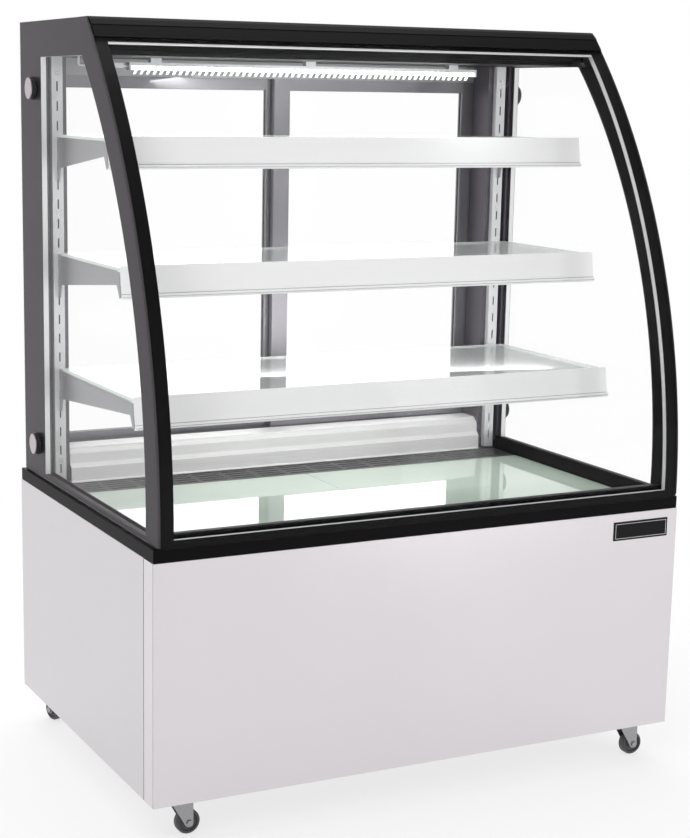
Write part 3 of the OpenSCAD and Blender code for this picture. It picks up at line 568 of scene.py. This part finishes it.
def lathe(bm, origin, axis, profile, count=24):
    """Turns a profile of (radius, height) round an axis that starts at origin."""
    axis = Vector(axis).normalized()
    u = axis.orthogonal().normalized()
    v = axis.cross(u)
    origin = Vector(origin)
    rows = []
    for radius, height in profile:
        if radius < 1e-7:
            rows.append([bm.verts.new(origin + axis * height)])
            continue
        rows.append([bm.verts.new(origin + axis * height + radius * (
            math.cos(2 * math.pi * k / count) * u + math.sin(2 * math.pi * k / count) * v))
            for k in range(count)])
    for a, b in zip(rows, rows[1:]):
        for k in range(count):
            n = (k + 1) % count
            if len(a) == 1 and len(b) == 1:
                continue
            if len(a) == 1:
                bm.faces.new((a[0], b[k], b[n]))
            elif len(b) == 1:
                bm.faces.new((a[k], a[n], b[0]))
            else:
                bm.faces.new((a[k], a[n], b[n], b[k]))


def screw_head(bm, origin, axis, r, h):
    """A low round screw head with a recess."""
    lathe(bm, origin, axis, [(0, 0), (r, 0), (r, 0.3 * h), (0.75 * r, 0.85 * h), (0.5 * r, h),
                             (0.42 * r, h), (0.36 * r, 0.45 * h), (0, 0.4 * h)], 20)


def spacer_bars():
    """Spacer bars of the side glasses, dark along the foot and light elsewhere."""
    bars = soften("side_spacers", 0.0002, 1)
    bars.data.materials.append(MATS["side_paint"])
    for face in bars.data.polygons:
        if face.center.z < CLEAR["low"] + 0.004:
            face.material_index = 1


def joint_shade_strips():
    """Dark strips in the joints beside the front panel's returns and down both front corners:
    painted shade standing in for the shade inside these narrow gaps.
    """
    bm = bmesh.new()
    for side in (-1, 1):
        for y0, y1, depth in ((0.0481, 0.0503, 0.0009), (0.00145, 0.00255, 0.0007)):
            x0, x1 = sorted((side * (body_hi.x - 0.0001), side * (body_hi.x - depth)))
            block(bm, (x0, body_lo.y + y0, body_lo.z + 0.001),
                  (x1, body_lo.y + y1, body_hi.z - 0.001), 0.00005, 1)
    add_piece("joint_shade_strips", bm, "painted_seam_shade", "cabinet")


def rail_lip_shade_lines():
    """Fine darker lines where each shelf rail meets its lip and on the lip's face: painted shade in
    the crease and along the lip.
    """
    bm = bmesh.new()
    for which in ("lower", "middle", "upper"):
        lo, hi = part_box("shelf_rail_" + which)
        block(bm, (lo.x + 0.0006, lo.y + 0.0050, lo.z + 0.0092),
              (hi.x - 0.0006, lo.y + 0.0057, lo.z + 0.0102), 0.0001, 1)
        block(bm, (lo.x + 0.0006, lo.y - 0.0002, lo.z + 0.0040),
              (hi.x - 0.0006, lo.y + 0.0004, lo.z + 0.0050), 0.0001, 1)
    add_piece("rail_lip_shade_lines", bm, "painted_lip_shade", "cabinet")


def standoffs():
    """Black rings with metal faces."""
    knobs = soften("standoffs", 0.0006)
    knobs.data.materials.append(MATS["knob_face"])
    reach = max(abs(v.co.x) for v in knobs.data.vertices)
    for face in knobs.data.polygons:
        if abs(face.center.x) > reach - 0.0026:
            face.material_index = 1


def lamp():
    """Chips behind the lamp's diffuser, and slanted glowing strips under it that are painted light:
    streaks of light below the lamp, not parts of it.
    """
    lo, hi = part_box("led_strip")
    middle = (lo.y + hi.y) / 2
    count = int((hi.x - lo.x) / 0.0145)
    pitch = (hi.x - lo.x) / count
    bm = bmesh.new()
    for i in range(count):
        x = lo.x + (i + 0.5) * pitch
        block(bm, (x - 0.0020, middle - 0.0092, hi.z - 0.0030),
              (x + 0.0020, middle - 0.0078, hi.z - 0.0004), 0.0005, 1)
    add_piece("led_chips", bm, "led", "cabinet")
    # Slanted glowing strips below the lamp: painted light streaks, not a part of the object
    bm = bmesh.new()
    for i in range(count - 1):
        before = set(bm.verts)
        x = lo.x + (i + 1) * pitch
        block(bm, (x - 0.0012, middle - 0.0050, lo.z - 0.0090),
              (x + 0.0012, middle + 0.0050, lo.z - 0.0006), 0.0004, 1)
        for v in set(bm.verts) - before:
            v.co.x += (v.co.z - lo.z) * 0.55
    add_piece("painted_lamp_rays", bm, "painted_led_rays", "cabinet")


def badge_frame():
    """Thin light frame round the blank badge."""
    lo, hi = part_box("nameplate")
    y0, y1 = lo.y - 0.0005, lo.y - 0.00002
    margin, line = 0.004, 0.0009
    x0, x1, z0, z1 = lo.x + margin, hi.x - margin, lo.z + margin, hi.z - margin
    bm = bmesh.new()
    for low, high in (((x0, z0), (x1, z0 + line)), ((x0, z1 - line), (x1, z1)),
                      ((x0, z0 + line), (x0 + line, z1 - line)),
                      ((x1 - line, z0 + line), (x1, z1 - line))):
        block(bm, (low[0], y0, low[1]), (high[0], y1, high[1]), 0.0001, 1)
    add_piece("badge_frame", bm, "screw", "cabinet")


def rear_screws():
    """Screws along the edges of the rear panel."""
    lo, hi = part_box("rear_panel")
    bm = bmesh.new()
    for x in (lo.x + 0.014, -0.12, hi.x - 0.014):
        for z in (lo.z + 0.014, hi.z - 0.014):
            screw_head(bm, (x, lo.y + 0.002, z), (0, 1, 0), 0.0048, 0.0022)
    add_piece("rear_screws", bm, "screw", "cabinet")


# Strokes of a plain digit, in millimetres from its middle: x0, x1, z0, z1
DIGIT_STROKES = ((-3, 3, 5.6, 6.6), (-3, 3, -0.5, 0.5), (-3, 3, -6.6, -5.6),
                 (-3, -2, 0.9, 5.2), (2, 3, 0.9, 5.2), (-3, -2, -5.2, -0.9),
                 (2, 3, -5.2, -0.9))


def display():
    """Thermostat display with three plain digits."""
    lo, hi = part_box("control_box")
    mid_z = (lo.z + hi.z) / 2
    left_x, depth_y = lo.x + 0.0075, hi.y - 0.00195
    bm = bmesh.new()
    block(bm, (left_x, depth_y, mid_z - 0.0105),
          (left_x + 0.035, depth_y + 0.0006, mid_z + 0.0105), 0.0002, 1)
    add_piece("display_window", bm, "display", "cabinet")
    bm = bmesh.new()
    for k in range(3):
        cx = left_x + 0.029 - k * 0.0105
        for dx0, dx1, dz0, dz1 in DIGIT_STROKES:
            block(bm, (cx + dx0 * MM, depth_y + 0.0006, mid_z + dz0 * MM),
                  (cx + dx1 * MM, depth_y + 0.0008, mid_z + dz1 * MM), 0.00005, 1)
    add_piece("display_digits", bm, "digit", "cabinet")


def door_seal(side, name):
    """Seal along a door's outer stile."""
    lo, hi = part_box("door_frame_" + name)
    outer = lo.x if side < 0 else hi.x
    x0, x1 = sorted((outer - side * 0.0010, outer - side * 0.0046))
    bm = bmesh.new()
    block(bm, (x0, lo.y - 0.0004, lo.z + 0.020), (x1, lo.y - 0.00002, hi.z - 0.016), 0.0001, 1)
    add_piece("door_seal_" + name, bm, "gasket", "door_" + name)


def door_pull(side, name):
    """Recessed pull in a door's outer stile: a floor, two long walls and two ends."""
    lo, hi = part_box("door_frame_" + name)
    outer = lo.x if side < 0 else hi.x
    pull = outer - side * 0.022
    mid = (lo.z + hi.z) / 2
    back = hi.y - 0.0078
    bm = bmesh.new()
    block(bm, (pull - 0.0088, back, mid - 0.0898), (pull + 0.0088, back + 0.0010, mid + 0.0898),
          0.0003, 1)
    for dx in (-0.0082, 0.0082):
        block(bm, (pull + dx - 0.0006, back + 0.0010, mid - 0.0898),
              (pull + dx + 0.0006, hi.y - 0.0004, mid + 0.0898), 0.0003, 1)
    for dz in (-0.0892, 0.0892):
        block(bm, (pull - 0.0076, back + 0.0010, mid + dz - 0.0006),
              (pull + 0.0076, hi.y - 0.0004, mid + dz + 0.0006), 0.0003, 1)
    add_piece("door_pull_" + name, bm, "rubber", "door_" + name)


def door_buffers(side, name):
    """Two buffers on the jamb that a closed door meets."""
    lo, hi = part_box("door_frame_" + name)
    outer = lo.x if side < 0 else hi.x
    bm = bmesh.new()
    for z in (lo.z + 0.12, hi.z - 0.12):
        x0, x1 = sorted((outer + side * 0.0006, outer + side * 0.0028))
        block(bm, (x0, lo.y + 0.004, z - 0.010), (x1, hi.y - 0.004, z + 0.010), 0.0006, 2)
    add_piece("door_buffers_" + name, bm, "rubber", "cabinet")


def door_brush():
    """Brush of three strips on the left door's meeting stile."""
    lo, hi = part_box("door_frame_left")
    bm = bmesh.new()
    for k in range(3):
        block(bm, (hi.x - 0.012 - k * 0.003, lo.y - 0.0018, lo.z + 0.022),
              (hi.x - 0.0100 - k * 0.003, lo.y - 0.00002, hi.z - 0.022), 0.0005, 1)
    add_piece("door_brush", bm, "rubber", "door_left")


spacer_bars()
joint_shade_strips()
rail_lip_shade_lines()
standoffs()
lamp()
badge_frame()
rear_screws()
display()
for side, name in SIDES:
    door_seal(side, name)
    door_pull(side, name)
    door_buffers(side, name)
door_brush()
